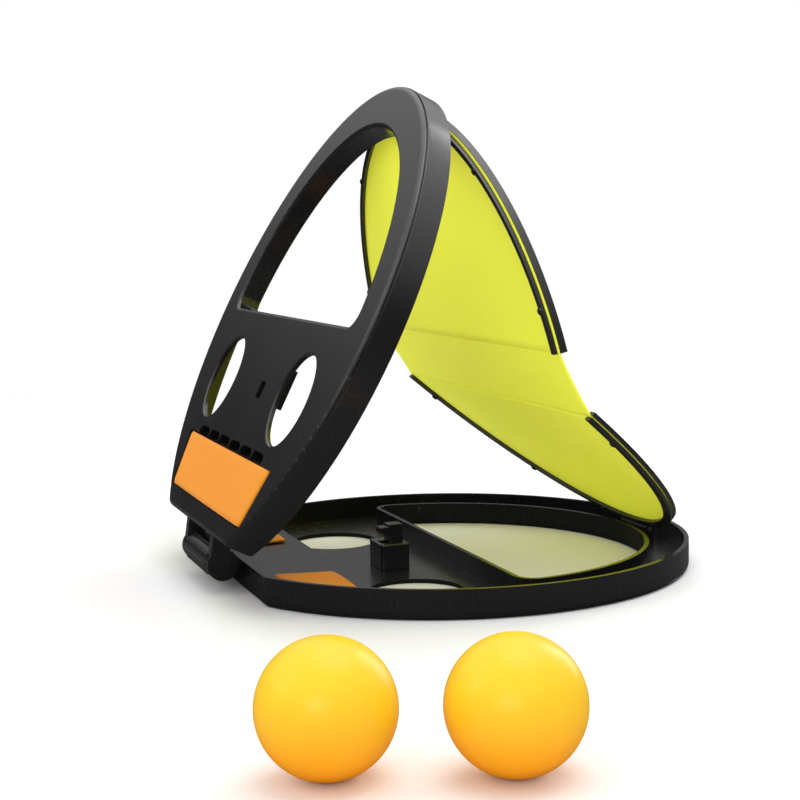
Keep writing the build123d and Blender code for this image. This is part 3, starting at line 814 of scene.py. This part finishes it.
def pegs(half, outer, carry):
    radius = outer - (CLAMP_INSETS[half] + BAND_W) / 2
    origin = carry(net_point(0, 0, 0))
    facing = carry(net_point(0, 0, -1)) - origin
    heading = carry(net_point(1, 0, 0)) - origin
    spots = []
    for angle in PEG_ANGLES:
        x = radius * math.cos(angle) - NET_CENTRE
        spots.append((carry(net_point(x, radius * math.sin(angle), CLAMP_FOOT)), facing, heading))
    piece = repeat_on(f"{half}_pegs", peg_tree, spots, PEG_SIZES)
    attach(piece, f"{half}_net")
    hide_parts(f"{half}_net_pegs")


pegs("lower", LOWER_NET_R, stays)
pegs("upper", UPPER_NET_R, to_upper)

# %% [markdown]
# ### Stitches
# Two rows of thread close each end of the upper strap, just before it turns in. A stitch is a
# short capsule lying on the cloth, half sunk, with its neighbour one stitch further on.

# %% Stitches
def stitch_shape(tree, group_in):
    add, link = tree.nodes.new, tree.links.new
    ball = add("GeometryNodeMeshIcoSphere")
    ball.inputs["Subdivisions"].default_value = 2
    stretch = add("GeometryNodeTransform")
    stretch.inputs["Scale"].default_value = (2.8, 1.0, 0.8)
    link(group_in.outputs["Thread radius"], ball.inputs["Radius"])
    link(ball.outputs["Mesh"], stretch.inputs["Geometry"])
    return stretch.outputs["Geometry"]


STITCH_SIZES = {"Thread radius": 0.26 * MM}
STITCH_PITCH = 1.9 * MM
stitch_tree = repeat_tree("stitch_row", thread, stitch_shape, STITCH_SIZES)


def strap_stitches(name, face_z, carry, body):
    spots = []
    origin = carry(Vector((0, 0, 0)))
    facing = carry(Vector((0, 0, -1))) - origin
    top = face_z - STRAP_T / 2 - 0.02 * MM
    count = int((STRAP_W - 3 * MM) / STITCH_PITCH)
    for side in (-1, 1):
        for row in (4.0 * MM, 7.0 * MM):
            for i in range(count + 1):
                x = STRAP_X - STRAP_W / 2 + 1.5 * MM + i * (STRAP_W - 3 * MM) / count
                y = side * (STRAP_TURN + STRAP_SLANT * (x - STRAP_X) - row)
                heading = carry(Vector((1, side * STRAP_SLANT, 0))) - origin
                spots.append((carry(Vector((x, y, top))), facing, heading))
    piece = repeat_on(name, stitch_tree, spots, STITCH_SIZES)
    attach(piece, body)


strap_stitches("upper_strap_stitches", UPPER_FACE_Z, to_upper, "upper_shell")

# %% [markdown]
# ## Balls
# A ball could be a plain UV sphere, but its poles pinch the shading. Six square patches pushed out
# to the radius give even faces all round. A real ball is two cups welded at the middle, so a
# shallow seam runs round it, tilted, as the ball happens to lie.

# %% Balls
BALL_GRID = 40
SEAM_WIDTH = 0.35 * MM
SEAM_DEPTH = 0.05 * MM


def ball(node, tilt, material):
    low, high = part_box(node)
    centre = (low + high) / 2
    radius = (high.z - low.z) / 2
    axis = Vector((math.sin(tilt), 0.35, math.cos(tilt))).normalized()
    points, faces = [], []
    for k in range(6):
        face_turn = Matrix.Rotation(math.pi / 2, 3, "Y")
        if k < 4:
            face_turn = Matrix.Rotation(math.pi / 2 * k, 3, "Z")
        sign = -1 if k == 5 else 1
        base = len(points)
        for i in range(BALL_GRID + 1):
            for j in range(BALL_GRID + 1):
                a = math.tan((i / BALL_GRID - 0.5) * math.pi / 2)
                b = math.tan((j / BALL_GRID - 0.5) * math.pi / 2)
                way = (face_turn @ Vector((sign, a, b))).normalized()
                seam = math.exp(-((way.dot(axis) * radius) / SEAM_WIDTH) ** 2)
                points.append(centre + way * (radius - SEAM_DEPTH * seam))
        for i in range(BALL_GRID):
            for j in range(BALL_GRID):
                a = base + i * (BALL_GRID + 1) + j
                faces.append((a, a + 1, a + BALL_GRID + 2, a + BALL_GRID + 1))
    piece = solid_from(node + "_celluloid", points, faces, material)
    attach(piece, node)
    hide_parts(node)


for number, tilt in ((1, 0.5), (2, -0.8)):
    node = f"ball_{number}"
    low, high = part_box(node)
    ball(node, tilt, celluloid(f"celluloid_{number}", (low + high) / 2))

# %% [markdown]
# ## Studio
# Black gloss plastic shows only what it mirrors, and cloth shows how much light falls on it. The
# studio treats the two apart, which no real one can: even air lights the cloth and the balls,
# while rays from a glossy bounce meet a darker room and a darker floor, with a pale ceiling. To
# light the scene plainly, give the world one background and the floor one colour. The floor
# catches the shadows and fades out into white.

# %% Studio air and floor
FLOOR_SIZE = 4.0
FLOOR_FADE = (0.35, 0.9)
AIR_LIGHT = 0.74
ROOM_LIGHT = 0.05
CEILING_LIGHT = 2.0
CEILING_STARTS = 0.15
CEILING_FULL = 0.9


def floor():
    half = FLOOR_SIZE / 2
    corners = [(-half, -half, 0), (half, -half, 0), (half, half, 0), (-half, half, 0)]
    finish = Finish("studio_floor", Roughness=1.0, Specular_IOR_Level=0.0)
    mirrored = finish.node("ShaderNodeLightPath", out="Is Glossy Ray")
    finish.feed("Base Color", finish.mix(mirrored, shade(0.96, 0.96, 0.96), shade(0.10, 0.10, 0.10)))
    reach = finish.node("ShaderNodeVectorMath", {"operation": "LENGTH"}, {0: finish.place()}, out="Value")
    finish.feed("Alpha", 1 - reach.smooth_step(FLOOR_FADE[0], FLOOR_FADE[1]))
    mesh = bpy.data.meshes.new("studio_floor")
    mesh.from_pydata(corners, [], [(0, 1, 2, 3)])
    mesh.materials.append(finish.material)
    plane = bpy.data.objects.new("studio_floor", mesh)
    bpy.context.collection.objects.link(plane)


def studio_air():
    world = bpy.data.worlds.new("studio_air")
    world.use_nodes = True
    tree = world.node_tree
    add, link = tree.nodes.new, tree.links.new
    room = tree.nodes["Background"]
    air = add("ShaderNodeBackground")
    seen = add("ShaderNodeBackground")
    for source in (room, air, seen):
        source.inputs["Color"].default_value = shade(1, 1, 1)
    air.inputs["Strength"].default_value = AIR_LIGHT
    spot = add("ShaderNodeTexCoord")
    parts = add("ShaderNodeSeparateXYZ")
    ramp = add("ShaderNodeMapRange")
    ramp.inputs["From Min"].default_value = CEILING_STARTS
    ramp.inputs["From Max"].default_value = CEILING_FULL
    ramp.inputs["To Min"].default_value = ROOM_LIGHT
    ramp.inputs["To Max"].default_value = CEILING_LIGHT
    path = add("ShaderNodeLightPath")
    for_mirrors = add("ShaderNodeMixShader")
    for_camera = add("ShaderNodeMixShader")
    link(spot.outputs["Generated"], parts.inputs[0])
    link(parts.outputs["Z"], ramp.inputs["Value"])
    link(ramp.outputs["Result"], room.inputs["Strength"])
    link(path.outputs["Is Glossy Ray"], for_mirrors.inputs[0])
    link(air.outputs[0], for_mirrors.inputs[1])
    link(room.outputs[0], for_mirrors.inputs[2])
    link(path.outputs["Is Camera Ray"], for_camera.inputs[0])
    link(for_mirrors.outputs[0], for_camera.inputs[1])
    link(seen.outputs[0], for_camera.inputs[2])
    link(for_camera.outputs[0], tree.nodes["World Output"].inputs["Surface"])
    bpy.context.scene.world = world


floor()
studio_air()

# %% [markdown]
# ## Light panels
# A big panel overhead gives the balls and the ring's crown their broad highlight, one on the left
# and one in front graze the outer face, and one on the right draws a line down the rim.

# %% Light panels
def panel(name, place, target, size, power):
    light = bpy.data.lights.new(name, "AREA")
    light.shape = "RECTANGLE"
    light.size, light.size_y = size
    light.energy = power
    lamp = bpy.data.objects.new(name, light)
    bpy.context.collection.objects.link(lamp)
    lamp.location = place
    lamp.rotation_euler = (Vector(target) - Vector(place)).to_track_quat("-Z", "Y").to_euler()


panel("overhead", (0.1, -0.1, 1.3), (0, 0, 0), (1.0, 1.0), 6)
panel("left_side", (-1.3, 0.1, 0.9), (-0.05, 0, 0.1), (0.5, 1.0), 2.2)
panel("front", (-0.9, -1.5, 0.6), (0.05, 0, 0.1), (0.9, 0.5), 5)
panel("right_rim", (1.1, 0.5, 0.6), (0, 0, 0.1), (0.4, 1.0), 5)
bpy.context.scene.view_settings.view_transform = "Standard"

# %% [markdown]
# ## Camera
# The view is low and from the front left, with a short telephoto so that the near strap isn't
# swollen. The camera's place and the directions of its right and top sides fix it.

# %% Camera
CAMERA_PLACE = Vector((-0.2544, -0.6623, 0.1513))
CAMERA_RIGHT = Vector((0.94104, -0.33785, -0.01735))
CAMERA_UP = Vector((0.05316, 0.09704, 0.99386))
lens = bpy.data.cameras.new("camera")
lens.lens = 72.13
lens.sensor_width = 36
camera = bpy.data.objects.new("camera", lens)
bpy.context.collection.objects.link(camera)
back = CAMERA_RIGHT.cross(CAMERA_UP).normalized()
up = back.cross(CAMERA_RIGHT).normalized()
turn = Matrix((CAMERA_RIGHT.normalized(), up, back)).transposed()
camera.matrix_world = Matrix.Translation(CAMERA_PLACE) @ turn.to_4x4()
bpy.context.scene.camera = camera

# %% [markdown]
# ## Finish
# Last, the view layer is brought up to date.

# %% Finish
bpy.context.view_layer.update()
